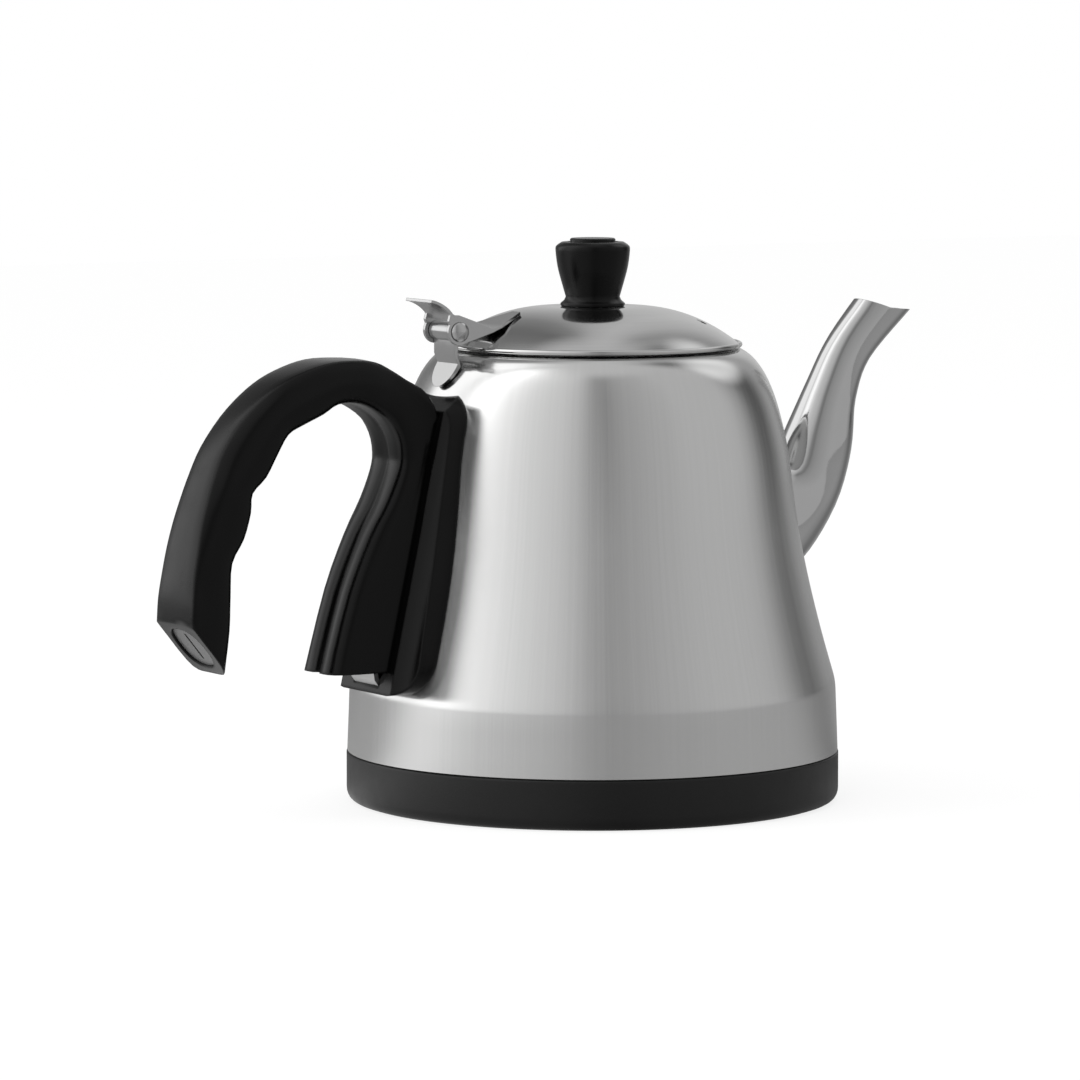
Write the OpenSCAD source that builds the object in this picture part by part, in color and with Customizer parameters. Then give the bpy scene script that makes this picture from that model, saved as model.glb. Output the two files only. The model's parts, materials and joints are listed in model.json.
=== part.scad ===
// Cordless kettle with a short curved spout, a hinged lid and an arched side handle.
// Millimetres. The origin is on the body's axis at the underside. +X is the spout, -X the handle.

/* [Body] */
// Radius of the body where it meets the base skirt
body_r = 74.8; // [70:0.1:80]
// Thickness of the steel sheet of the body
body_wall = 0.8; // [0.6:0.1:1.2]
// Height of the knee where the flank starts to lean in
knee_z = 36.6; // [32:0.1:42]
// Length of the bend at the knee, each way
knee_round = 2.5; // [1.5:0.1:4]
// Lean of the band below the knee, in degrees
band_lean = 2.2; // [1:0.1:3]
// Lean of the flank just above the knee, in degrees
flank_lean = 16.4; // [14:0.1:18]
// Radius at the foot of the shoulder
shoulder_r = 58.8; // [57:0.1:61]
// Height of the foot of the shoulder
shoulder_z = 109.7; // [106:0.1:112]
// Lean of the wall at the foot of the shoulder, in degrees
shoulder_lean = 11.5; // [9:0.1:13]
// Radius of the shoulder's top edge, under the lid's rim
rim_r = 45; // [43:0.1:47]
// Height of the shoulder's top edge
rim_z = 137.4; // [134:0.1:142]
// Lean of the shoulder at its top edge, in degrees
rim_lean = 65; // [60:0.5:70]
// Width of the lip, from the shoulder's top edge in to the mouth
lip_w = 5; // [4.2:0.1:7]
// Depth of the turned-down lip of the mouth
lip_depth = 4; // [3:0.1:5]
// Height of the vessel floor's top face
floor_z = 22; // [21:0.1:24]
// Height of the floor's upturned flange
floor_flange = 8; // [5:0.1:10]

/* [Spout] */
// Wall of the spout
spout_wall = 0.9; // [0.7:0.1:1.2]
// Height of the middle of the spout's root
spout_root_z = 75; // [72:0.5:78]
// Height of the spout's tip above its root
spout_rise = 73; // [70:0.5:78]
// Reach of the spout's tip, out from the body's radius at the knee
spout_reach = 31.5; // [29:0.5:34]
// Half depth of the spout at its root
spout_root_half = 16; // [15:0.1:17]
// Half depth of the spout at its throat
spout_throat_half = 7.3; // [6.8:0.1:7.8]
// Half depth of the spout at its mouth
spout_mouth_half = 8; // [7.6:0.1:8.6]
// Half width of the spout as a share of its half depth
spout_slim = 0.9; // [0.85:0.01:1]
// Drop of the spout's lip from its back to its front
lip_drop = 4.2; // [3:0.1:5.5]
// Diameter of the strainer holes behind the spout
strainer_hole_d = 3.2; // [2.4:0.1:3.6]
// Pitch of the strainer holes
strainer_pitch = 5.2; // [4.8:0.1:6]

/* [Base] */
// Height of the base skirt's top edge
skirt_top = 15.2; // [14:0.1:17]
// Step of the skirt out from the body's foot
skirt_step = 0.2; // [0.1:0.1:6.2]
// Wall of the skirt
skirt_wall = 2.2; // [2:0.1:2.6]
// Height of the rounding at the skirt's foot
skirt_bevel_z = 4; // [3:0.1:5]
// Inward run of that rounding
skirt_bevel_r = 3; // [2:0.1:3.5]
// Thickness of the base cover
cover_t = 2; // [1.6:0.1:2.4]
// Height of the cover's underside
cover_z = 3.2; // [2.6:0.1:3.6]
// Gap between the heat plate and the studs for the base screws
stud_gap = 1.6; // [1:0.1:4]
// Diameter of the base screws
base_screw_d = 3; // [2.5:0.1:3.5]

/* [Heater] */
// Radius of the heat plate
plate_r = 54; // [52:0.5:55]
// Thickness of the heat plate
plate_t = 3; // [2.5:0.1:3.5]
// Radius of the heating element's ring
element_r = 44; // [41:0.5:46]
// Diameter of the heating element's tube
element_d = 7; // [6:0.1:7.4]
// Gap between the two ends of the element, in degrees
element_gap = 50; // [40:1:60]
// Radius of the connector socket's barrel
socket_r = 19.8; // [19:0.1:21]
// Height of the connector socket's barrel
socket_h = 13; // [12:0.1:13.6]
// Radius of the socket's centre bore
socket_bore_r = 3.2; // [3:0.1:3.6]
// Depth of the socket's bore and ring grooves
socket_depth = 9; // [8:0.1:10]
// Width of the socket's ring grooves
ring_groove = 2.2; // [2:0.1:2.4]

/* [Lid] */
// Step of the lid's rim out from the shoulder's top edge
lid_proud = 0.4; // [-1.5:0.1:2.5]
// Height of the lid's crown above the shoulder's edge
crown_h = 12.9; // [11:0.1:16]
// Rise angle of the dome at its rim
dome_rise = 38; // [34:0.5:42]
// Thickness of the lid's sheet
lid_wall = 0.8; // [0.6:0.1:1]
// Radius of the flat seat for the knob
knob_seat_r = 10.4; // [10.2:0.1:12]
// Gap between the lid and the mouth's ledge
lid_gap = 0.35; // [0.3:0.01:0.5]
// Gap between the lid's inner pan and the mouth
pan_gap = 1.3; // [1.2:0.1:1.8]
// Depth of the inner pan below the ledge
pan_depth = 4; // [3:0.1:4.5]
// Diameter of the steam vent
vent_d = 3; // [2:0.1:4]
// Distance of the steam vent from the lid's axis
vent_at = 33.4; // [30:0.1:36]
// Bearing of the steam vent, in degrees from the spout
vent_bearing = -41; // [-60:1:-20]

/* [Knob] */
// Height of the knob
knob_h = 20.6; // [18:0.1:24]
// Radius of the knob at its widest
knob_r = 11.3; // [10.5:0.1:12]
// Radius of the knob's waist
knob_waist_r = 8.2; // [7.5:0.1:9]
// Radius of the knob's foot
knob_foot_r = 9.8; // [9:0.1:10.1]
// Radius of the raised disc on the knob's top
knob_disc_r = 6.9; // [6:0.1:7.5]
// Diameter of the knob's screw
knob_screw_d = 4; // [3:0.1:5]

/* [Handle] */
// Reach of the grip, out from the seat's top corner
grip_reach = 83; // [80:0.5:90]
// Height of the handle's top
handle_top = 137.5; // [134:0.1:142]
// Drop of the grip's free end below the handle's top
grip_drop = 91.2; // [87:0.2:95]
// Height of the handle's front limb at its foot
limb_foot_z = 44.2; // [42:0.1:48]
// Depth of the limb at its foot, out from the seat
limb_depth = 18.4; // [17:0.1:20]
// Half width of the grip's side faces
grip_half = 11.6; // [11:0.1:13]
// Reach of the rounding along the grip's inner edges
grip_round = 3.4; // [2.8:0.1:4]
// Half width of the limb where it meets the seat
limb_root_half = 13; // [12:0.1:14]
// Depth of the groove down the limb's inner face
limb_groove = 2; // [1:0.1:2.4]
// Width of that groove
limb_groove_w = 4; // [3:0.1:6]
// Height of the seat's foot
seat_foot_z = 37.5; // [36:0.1:40]
// Height of the top corner of the seat's front face
seat_top_z = 121.5; // [119:0.1:124]
// Rise of the seat's top from that corner to the body
seat_rise = 5; // [4:0.1:6]
// Depth of the seat at its top corner, out from the body
seat_depth_top = 5.1; // [4.8:0.1:6]
// Depth of the seat at its foot, out from the body
seat_depth_foot = 5.9; // [5.5:0.1:7]
// Depth that the seat's front face loses from the limb to its edges
seat_flare = 3.2; // [2:0.1:3.6]
// Half width of the seat at its top
seat_half_top = 17.4; // [16:0.1:19]
// Half width of the seat at its foot
seat_half_foot = 22; // [20:0.1:23]
// Width of the steel bracket
bracket_w = 14; // [12:0.1:16]
// Thickness of the steel bracket
bracket_t = 1.5; // [1.2:0.1:2]
// Diameter of the handle's screw
handle_screw_d = 5; // [4:0.1:5.5]
// Length of the handle's screw inside the limb
handle_screw_l = 9; // [7:0.1:11]
// Distance of that screw out from the seat's front face
handle_screw_out = 7.8; // [7:0.1:8.8]
// Depth of the end plug's pocket in the grip
plug_pocket = 4; // [3:0.1:6]

/* [Hinge] */
// Distance of the hinge pin out from the lid's rim
pin_out = 5.6; // [5.2:0.1:6.6]
// Height of the hinge pin above the shoulder's edge
pin_up = 7; // [6.5:0.1:8]
// Diameter of the hinge pin
pin_d = 3.2; // [2.5:0.1:3.6]
// Diameter of the pin's domed head
pin_head_d = 6; // [5:0.1:7]
// Width of the fixed strap
strap_w = 12.3; // [11:0.1:13]
// Thickness of the fixed strap and of the leaf
strap_t = 1.2; // [1:0.1:1.4]
// Radius of the leaf's ears about the pin
ear_r = 4; // [3.8:0.1:4.3]
// Rise of the thumb lever above the pin
lever_rise = 9.4; // [8.5:0.1:11]
// Reach of the thumb lever behind the pin
lever_reach = 9.8; // [8:0.1:11]
// Distance of the tongue's tip from the lid's axis
tongue_tip_r = 26; // [24:0.1:30]

/* [Fits] */
// Radial running fit of the hinge pin
pin_fit = 0.05; // [0.02:0.01:0.1]
// Side play between the strap and the ears
side_play = 0.25; // [0.2:0.01:0.4]
// Gap that keeps seated pieces from biting into each other
seat_gap = 0.05; // [0.02:0.01:0.1]
// Clearance of screws in their holes, radial
screw_fit = 0.05; // [0.02:0.01:0.1]

/* [Hidden] */
$fn = 72;
eps = 0.01;
far = 200;

// ---- curves -------------------------------------------------------------------------------

// Unit vector in (radius, height) that climbs while leaning in towards the axis
function leaning(a) = [-sin(a), cos(a)];

// Point on a cubic curve
function cubic(p, t) =
    pow(1 - t, 3) * p[0] + 3 * pow(1 - t, 2) * t * p[1]
    + 3 * (1 - t) * t * t * p[2] + pow(t, 3) * p[3];
function cubic_line(p, n) = [for (i = [0:n]) cubic(p, i / n)];

// Cubic curve from a to b, which leaves along u and arrives along v
function bend(a, u, b, v, n) = cubic_line([a, a + u, b - v, b], n);

// Smooth curve through every point of a list, in any number of dimensions
function through(p, s) =
    let (i = min(floor(s), len(p) - 2), t = s - i,
         a = p[max(i - 1, 0)], b = p[i], c = p[i + 1], d = p[min(i + 2, len(p) - 1)])
    0.5 * (2 * b + (c - a) * t + (2 * a - 5 * b + 4 * c - d) * t * t
           + (3 * b - a - 3 * c + d) * t * t * t);
function smooth(p, n) = [for (k = [0:n]) through(p, k * (len(p) - 1) / n)];

// A line moved sideways by d, to the right of its direction of travel
function unit(v) = v / norm(v);
function heading(p, i) = unit(p[min(i + 1, len(p) - 1)] - p[max(i - 1, 0)]);
function aside(p, d) = [for (i = [0:len(p) - 1]) let (h = heading(p, i)) p[i] + d * [h[1], -h[0]]];
function backwards(p) = [for (i = [len(p) - 1:-1:0]) p[i]];

// Arc about c
function arc(c, r, a0, a1, n) =
    [for (i = [0:n]) let (a = a0 + (a1 - a0) * i / n) c + r * [cos(a), sin(a)]];

// ---- the body's outline ---------------------------------------------------------------------

band_foot = [body_r, skirt_top + 0.3];
knee = band_foot + (knee_z - band_foot[1]) / cos(band_lean) * leaning(band_lean);
knee_low = knee - knee_round * leaning(band_lean);
knee_high = knee + knee_round * leaning(flank_lean);
shoulder = [shoulder_r, shoulder_z];
rim = [rim_r, rim_z];
mouth_r = rim_r - lip_w;
flank_h = shoulder_z - knee_high[1];
shoulder_h = rim_z - shoulder_z;
wall_line = concat(
    [band_foot],
    cubic_line([knee_low, knee_low + 2 / 3 * (knee - knee_low),
                knee_high + 2 / 3 * (knee - knee_high), knee_high], 5),
    [for (i = [1:14])
        cubic([knee_high, knee_high + 0.64 * flank_h * leaning(flank_lean),
               shoulder - 0.2 * flank_h * leaning(shoulder_lean), shoulder], i / 14)],
    [for (i = [1:14])
        cubic([shoulder, shoulder + 0.4 * shoulder_h * leaning(shoulder_lean),
               rim - 0.32 * shoulder_h * leaning(rim_lean), rim], i / 14)]
);
skirt_r = body_r + skirt_step;
neck_r = skirt_r - skirt_wall - 2 * seat_gap;
neck_foot_z = 9;
ledge_z = rim_z + 0.3;
ledge_round = 1;
lip_line = concat(
    [[rim_r - 1.2, ledge_z]],
    arc([mouth_r + body_wall + ledge_round, ledge_z - ledge_round], ledge_round, 90, 180, 5),
    [[mouth_r + body_wall, ledge_z - lip_depth]]
);
neck_line = [[neck_r, neck_foot_z], [neck_r, skirt_top + seat_gap]];
shell_line = concat(neck_line, wall_line, lip_line);

// Radius of the body's outer face at a height
function wall_r(z) = lookup(z, [for (p = wall_line) [p[1], p[0]]]);

// The body as a filled solid, grown by a gap, to cut what is seated on it
module body_solid(grow) {
    grown = aside(wall_line, grow);
    rotate_extrude()
        polygon(concat([[0, wall_line[0][1]]], grown, [[0, rim_z]]));
}

module body_shell() {
    color("silver")
    difference() {
        rotate_extrude()
            polygon(concat(shell_line, backwards(aside(shell_line, -body_wall))));
        strainer_holes();
    }
}

// Staggered rows of holes through the wall behind the spout's root
module strainer_holes() {
    row_h = strainer_pitch * sin(60);
    middle_z = spout_root_z + strainer_pitch;
    for (row = [-2:2])
        for (k = [-2:2 - abs(row % 2)]) {
            y = (k + abs(row % 2) / 2) * strainer_pitch;
            translate([wall_r(middle_z) - 1.5 * strainer_pitch, y, middle_z + row * row_h])
                rotate([0, 90, 0])
                    cylinder(d = strainer_hole_d, h = 3 * strainer_pitch);
        }
}

floor_t = 1;
module vessel_floor() {
    inner = aside(wall_line, -body_wall - seat_gap);
    function inner_r(z) = lookup(z, [for (p = inner) [p[1], p[0]]]);
    top = floor_z + floor_flange;
    color("gainsboro")
    rotate_extrude()
        polygon([
            [0, floor_z - floor_t], [inner_r(floor_z - floor_t), floor_z - floor_t],
            [inner_r(top), top], [inner_r(top) - floor_t, top],
            [inner_r(floor_z) - floor_t, floor_z], [0, floor_z]
        ]);
}

// ---- spout ------------------------------------------------------------------------------------

spout_root_x = wall_r(spout_root_z) - 0.75 * spout_root_half;
spout_tip = [body_r + spout_reach + 0.3 * spout_mouth_half,
             spout_root_z + spout_rise + 0.375 * spout_mouth_half];
// Middle line of the spout and its half depth: x and z run from the root to the tip
function spout_at(fx, fz) =
    [spout_root_x + fx * (spout_tip[0] - spout_root_x), spout_root_z + fz * (spout_tip[1] - spout_root_z)];
spout_stations = [
    [spout_at(0, 0), spout_root_half],
    [spout_at(0.22, 0.08), 0.925 * spout_root_half],
    [spout_at(0.43, 0.22), 0.725 * spout_root_half],
    [spout_at(0.527, 0.41), 0.466 * (spout_root_half + spout_throat_half)],
    [spout_at(0.612, 0.61), 1.123 * spout_throat_half],
    [spout_at(0.735, 0.79), spout_throat_half],
    [spout_at(1, 1), spout_mouth_half]
];
spout_steps = 30;
spout_sides = 32;
spout_mid = smooth([for (s = spout_stations) s[0]], spout_steps);
spout_half = smooth([for (s = spout_stations) s[1]], spout_steps);

// Section of the spout at step i: a rounded oval, square to the middle line
function spout_ring(i, inset) =
    let (h = heading(spout_mid, i), across = [h[1], -h[0]],
         a = spout_half[i] - inset, b = spout_half[i] * spout_slim - inset)
    [for (k = [0:spout_sides - 1])
        let (t = 360 * k / spout_sides, c = cos(t), s = sin(t),
             u = a * sign(c) * pow(abs(c), 0.9), v = b * sign(s) * pow(abs(s), 0.9))
        [spout_mid[i][0] + u * across[0], v, spout_mid[i][1] + u * across[1]]];

// Closed skin over a stack of rings
module skin(rings) {
    n = len(rings[0]);
    m = len(rings);
    polyhedron(
        points = [for (r = rings) for (p = r) p],
        faces = concat(
            [[for (k = [0:n - 1]) k]],
            [for (i = [0:m - 2]) for (k = [0:n - 1]) [i * n + k, (i + 1) * n + k, i * n + (k + 1) % n]],
            [for (i = [0:m - 2]) for (k = [0:n - 1])
                [i * n + (k + 1) % n, (i + 1) * n + k, (i + 1) * n + (k + 1) % n]],
            [[for (k = [n - 1:-1:0]) (m - 1) * n + k]]
        ),
        convexity = 6
    );
}

module spout() {
    half = spout_mouth_half;
    lip_back = [spout_tip[0] - 1.625 * half, spout_root_z + spout_rise + 0.275 * half];
    lip_front = [spout_tip[0] + 0.9375 * half, lip_back[1] - lip_drop];
    lip_step = [spout_tip[0] - 0.5 * half, lip_back[1] - 0.75 * lip_drop];
    color("silver")
    difference() {
        skin([for (i = [0:spout_steps]) spout_ring(i, 0)]);
        skin([for (i = [-1:spout_steps + 1])
            let (j = min(max(i, 0), spout_steps), h = heading(spout_mid, j))
            [for (p = spout_ring(j, spout_wall)) p + (i - j) * [h[0], 0, h[1]]]]);
        body_solid(seat_gap);
        translate([0, far / 2, 0])
            rotate([90, 0, 0])
                linear_extrude(far)
                    polygon([
                        lip_back + [-far / 10, 3], lip_back, lip_step, lip_front,
                        lip_front + [far / 10, 0], lip_front + [far / 10, far], lip_back + [-far / 10, far]
                    ]);
    }
}

// ---- base -------------------------------------------------------------------------------------

skirt_ledge_z = 7;
ledge_w = 3.2;
skirt_in = skirt_r - skirt_wall;
module base_skirt() {
    foot_r = skirt_r - skirt_bevel_r;
    bevel = [for (i = [0:6])
        [foot_r + 0.4 + (skirt_bevel_r - 0.4) * sin(15 * i),
         skirt_bevel_z - (skirt_bevel_z - 0.4) * cos(15 * i)]];
    color([0.12, 0.12, 0.12])
    rotate_extrude()
        polygon(concat([[foot_r - 0.6, 0]], bevel, [
            [skirt_r, skirt_top - 0.4],
            [skirt_r - 0.4, skirt_top], [skirt_in, skirt_top], [skirt_in, skirt_ledge_z],
            [skirt_in - ledge_w, skirt_ledge_z], [skirt_in - ledge_w, cover_z + cover_t + seat_gap],
            [skirt_in - 2, cover_z + cover_t + seat_gap], [skirt_in - 2, cover_z - 1],
            [foot_r - 2.6, 0]
        ]));
}

gasket_h = neck_foot_z - skirt_ledge_z - 2 * seat_gap;
module base_gasket() {
    color("dimgray")
    translate([0, 0, skirt_ledge_z + seat_gap])
        difference() {
            cylinder(r = neck_r, h = gasket_h);
            translate([0, 0, -1])
                cylinder(r = neck_r - 2.2, h = gasket_h + 2);
        }
}

cover_r = skirt_in - 2 - 2 * seat_gap;
stud_r = 4;
screw_circle_r = plate_r + stud_gap + stud_r;
module at_base_screws() {
    for (k = [0:2])
        rotate([0, 0, 60 + 120 * k])
            translate([screw_circle_r, 0, 0])
                children();
}

socket_flange_z = cover_z + cover_t + seat_gap;
module base_cover() {
    color([0.15, 0.15, 0.15])
    translate([0, 0, cover_z])
        difference() {
            cylinder(r = cover_r, h = cover_t);
            translate([0, 0, -1])
                cylinder(r = socket_r + 0.4, h = cover_t + 2);
            at_base_screws()
                translate([0, 0, -1])
                    cylinder(d = base_screw_d + 1, h = cover_t + 2);
        }
}

stud_foot_z = cover_z + cover_t + seat_gap;
stud_top_z = floor_z - floor_t;
stud_bore = 12;
module floor_studs() {
    color("darkgray")
    at_base_screws()
        difference() {
            translate([0, 0, stud_foot_z])
                cylinder(r = stud_r, h = stud_top_z - stud_foot_z);
            translate([0, 0, stud_foot_z - 1])
                cylinder(d = base_screw_d + 2 * screw_fit, h = stud_bore + 1);
        }
}

module base_screws() {
    head_h = 1.8;
    color("silver")
    at_base_screws()
        difference() {
            translate([0, 0, cover_z - seat_gap - head_h])
                union() {
                    cylinder(r = base_screw_d, h = head_h);
                    translate([0, 0, head_h - eps])
                        cylinder(d = base_screw_d, h = stud_bore - 1);
                }
            cross_recess(cover_z - seat_gap - head_h, base_screw_d * 0.7, 1);
        }
}

// Cross-shaped driver recess cut upwards from height z
module cross_recess(z, half, deep) {
    for (a = [0, 90])
        rotate([0, 0, a])
            translate([-half, -0.35, z - 1])
                cube([2 * half, 0.7, deep + 1]);
}

// ---- heater -----------------------------------------------------------------------------------

plate_z = floor_z - floor_t - plate_t;
module heat_plate() {
    color("lightgray")
    translate([0, 0, plate_z])
        cylinder(r = plate_r, h = plate_t);
}

element_z = plate_z - element_d / 2 - seat_gap;
terminal_d = 3;
module heating_element() {
    color("gray")
    rotate([0, 0, 180 + element_gap / 2]) {
        rotate_extrude(angle = 360 - element_gap)
            translate([element_r, element_z])
                circle(d = element_d);
    }
}

// Cold pins on the two ends of the element, each with an insulating collar
module element_terminals() {
    color("goldenrod")
    for (side = [-1, 1])
        rotate([0, 0, 180 + side * element_gap / 2])
            translate([element_r, -side * seat_gap, element_z])
                rotate([side * 90, 0, 0]) {
                    cylinder(d = element_d - 1, h = 1.5);
                    cylinder(d = terminal_d, h = 8);
                }
}

groove_r = [0.404 * socket_r, 0.682 * socket_r];
socket_lug_z = 9;
socket_lug_t = 2;
socket_screw_d = 3;
module connector_socket() {
    color([0.1, 0.1, 0.1])
    difference() {
        union() {
            cylinder(r = socket_r, h = socket_h);
            translate([0, 0, socket_flange_z])
                cylinder(r = socket_r + 2.4, h = 1.6);
            for (side = [-1, 1])
                translate([-5, side > 0 ? socket_r - 2 : -socket_r - 8, socket_lug_z])
                    cube([10, 10, socket_lug_t]);
        }
        translate([0, 0, -eps])
            cylinder(r = socket_bore_r, h = socket_depth + eps);
        for (r = groove_r)
            translate([0, 0, -1])
                difference() {
                    cylinder(r = r + ring_groove, h = socket_depth + 1);
                    cylinder(r = r, h = socket_depth + 1);
                }
        at_socket_screws()
            cylinder(d = socket_screw_d + 2 * screw_fit, h = 2 * socket_h);
    }
}

module at_socket_screws() {
    for (side = [-1, 1])
        translate([0, side * (socket_r + 4.5), 0])
            children();
}

module contact_rings() {
    ring_t = 0.6;
    color("goldenrod")
    for (r = groove_r)
        translate([0, 0, 2])
            difference() {
                cylinder(r = r + ring_groove - seat_gap, h = socket_depth - 2);
                translate([0, 0, -1])
                    cylinder(r = r + ring_groove - seat_gap - ring_t, h = socket_depth);
            }
}

module socket_screws() {
    head_h = 1.6;
    color("silver")
    at_socket_screws() {
        translate([0, 0, socket_lug_z - seat_gap - head_h])
            cylinder(d = 1.73 * socket_screw_d, h = head_h);
        translate([0, 0, socket_lug_z - seat_gap - eps])
            cylinder(d = socket_screw_d, h = plate_z - socket_lug_z);
    }
}

disc_r = 0.354 * socket_r;
module cutout_discs() {
    color("tan")
    for (side = [-1, 1])
        translate([0, 1.43 * side * disc_r, socket_h + seat_gap])
            cylinder(r = disc_r, h = plate_z - socket_h - 2 * seat_gap);
}

module thermal_fuse() {
    fuse_d = 4;
    color("khaki")
    translate([16, -27, plate_z - fuse_d / 2 - seat_gap])
        rotate([-90, 0, 0]) {
            cylinder(d = fuse_d, h = 11, center = true);
            cylinder(d = 1.2, h = 17, center = true);
        }
}

module temperature_sensor() {
    color("gray")
    rotate([0, 0, 40])
        translate([30, 0, plate_z - seat_gap - 6])
            difference() {
                union() {
                    cylinder(d = 7, h = 6);
                    cylinder(d = 10, h = 1.2);
                }
                translate([0, 0, -1])
                    cylinder(d = 3, h = 4);
            }
}

// A lead from the socket's wall to a point at a bearing, with a drop of solder at its end
lead_d = 2;
lead_z = 9.4;
module lead(bearing, from, to) {
    rotate([0, 0, bearing]) {
        translate([from, 0, lead_z])
            rotate([0, 90, 0])
                cylinder(d = lead_d, h = to - from);
        translate([to, 0, lead_z])
            sphere(d = lead_d + 0.6);
    }
}

terminal_bearing = element_gap / 2 - atan(6 / element_r);
module live_lead() {
    color("saddlebrown") terminal_lead(180 - terminal_bearing);
}

module neutral_lead() {
    color("royalblue") terminal_lead(180 + terminal_bearing);
}

// Lead to one terminal of the element: along the cover, then up to the cold pin
module terminal_lead(bearing) {
    reach = norm([element_r, 6]);
    lead(bearing, socket_r + seat_gap, reach);
    rotate([0, 0, bearing])
        translate([reach, 0, lead_z])
            cylinder(d = lead_d, h = element_z - terminal_d / 2 - lead_z - seat_gap);
}

module earth_lead() {
    reach = 30;
    color("yellowgreen") {
        lead(-10, socket_r + seat_gap, reach);
        rotate([0, 0, -10])
            translate([reach, 0, lead_z])
                cylinder(d = lead_d, h = plate_z - lead_z - seat_gap);
    }
}

// ---- handle -----------------------------------------------------------------------------------

// Line of the seat's front face: from its top corner down to its foot
seat_top = [-(wall_r(seat_top_z) + seat_depth_top), seat_top_z];
seat_foot = [-(wall_r(seat_foot_z) + seat_depth_foot), seat_foot_z];
function seat_x(z) =
    seat_top[0] + (seat_foot[0] - seat_top[0]) * (z - seat_top[1]) / (seat_foot[1] - seat_top[1]);

// Everything on the body's side of the seat's front face
module behind_seat_face(shift) {
    translate([0, far / 2, 0])
        rotate([90, 0, 0])
            linear_extrude(far)
                polygon([
                    [seat_x(0) + shift, 0], [seat_x(far) + shift, far], [far, far], [far, 0]
                ]);
}

module handle_seat() {
    top_corner = 11;
    foot_corner = 9;
    top_z = seat_top_z + seat_rise;
    half = concat(
        arc([seat_half_foot - foot_corner, seat_foot_z + foot_corner], foot_corner, -90, 0, 6),
        arc([seat_half_top - top_corner, top_z - top_corner], top_corner, 0, 90, 8)
    );
    front = concat(half, [for (p = backwards(half)) [-p[0], p[1]]]);
    color([0.1, 0.1, 0.1])
    difference() {
        intersection() {
            rotate([90, 0, -90])
                linear_extrude(far)
                    polygon(front);
            behind_seat_face(0);
            across_y(far / 2)
                polygon([
                    [-far, 0], [0, 0], [0, top_z], seat_top + [9, seat_rise], seat_top, [-far, seat_top[1]]
                ]);
        }
        seat_flares();
        body_solid(seat_gap);
        bracket_plate(bracket_t + 4 * seat_gap, bracket_w + 1);
    }
}

// Cuts along the seat that hollow its front face from the limb out to its edges
module seat_flares() {
    run = seat_half_top - limb_root_half;
    wide = 2.3 * run;
    hollow = bend([0, 0], [-1.06 * seat_flare, 0.6 * run], [-2 * seat_flare, wide],
                  [-0.1 * seat_flare, 0.8 * run], 7);
    translate([seat_top[0], 0, seat_top[1] + 10])
        rotate([0, 180 + atan2(seat_top[0] - seat_foot[0], seat_top[1] - seat_foot[1]), 0])
            linear_extrude(far)
                for (side = [-1, 1])
                    polygon([for (p = concat(hollow, [[20, wide], [20, 0]]))
                        [p[0], side * (limb_root_half + p[1])]]);
}

// Stations of the handle, from the grip's free end over the arch to the limb's foot, as shares.
// On the grip and arch: u of the reach out from the seat's top corner, z of the grip's drop
function hp(u, z) = [seat_top[0] - u * grip_reach, handle_top - z * grip_drop];
// On the limb: h of the height above its foot, d of its depth there, out from the seat
function lp(h, d) =
    let (z = limb_foot_z + h * (handle_top - limb_foot_z)) [seat_x(z) - d * limb_depth, z];
outer_line = [
    hp(0.999, 0.831), hp(0.994, 0.757), hp(0.983, 0.674), hp(0.966, 0.592), hp(0.945, 0.51),
    hp(0.918, 0.433), hp(0.889, 0.36), hp(0.846, 0.274), hp(0.771, 0.18), hp(0.687, 0.11),
    hp(0.6, 0.059), hp(0.504, 0.024), hp(0.41, 0.003), hp(0.313, 0), hp(0.236, 0.008), hp(0.176, 0.035),
    hp(0.12, 0.067), hp(0.03, 0.122), lp(0.759, -0.136), lp(0.62, -0.163), lp(0.469, -0.163),
    lp(0.277, -0.163), lp(0, -0.163)
];
inner_line = [
    hp(0.847, 1), hp(0.834, 0.862), hp(0.828, 0.746), hp(0.82, 0.64), hp(0.773, 0.564),
    hp(0.745, 0.482), hp(0.737, 0.419), hp(0.682, 0.368), hp(0.636, 0.296), hp(0.593, 0.235),
    hp(0.535, 0.207), hp(0.453, 0.175), hp(0.394, 0.145), hp(0.318, 0.143), hp(0.251, 0.164),
    hp(0.186, 0.208), hp(0.145, 0.27), hp(0.137, 0.336), lp(0.62, 0.452), lp(0.534, 0.552),
    lp(0.427, 0.739), lp(0.255, 0.913), lp(0, 1)
];
// Half widths of the outer face and of the sides, at the same stations
outer_half = concat(
    grip_half * [0.983, 0.983, 0.914, 0.879, 0.81, 0.759, 0.707, 0.655, 0.621, 0.655, 0.707,
                 0.759, 0.793, 0.81, 0.828, 0.862, 0.914, 0.983],
    [for (i = [0:4]) limb_root_half]
);
side_half = [for (i = [0:22]) grip_half * (i < 15 ? 1 : 0.95)];
// Depth of the groove in the inner face: nothing on the grip, full on the limb
groove_depth = [for (i = [0:22]) limb_groove * pow(max(0, min(1, (i - 12.6) / 5)), 1.5)];
// Reach of the rounding along the inner face's edges, wider at the grip's end and on the limb
edge_round = [for (i = [0:22]) grip_round * (i == 0 ? 1.65 : 1 + 0.75 * max(0, min(1, (i - 12) / 5)))];
handle_steps = 66;
handle_out = smooth(outer_line, handle_steps);
handle_in = smooth(inner_line, handle_steps);
handle_w0 = smooth(outer_half, handle_steps);
handle_w1 = smooth(side_half, handle_steps);
handle_g = smooth(groove_depth, handle_steps);
handle_q = smooth(edge_round, handle_steps);

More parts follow.
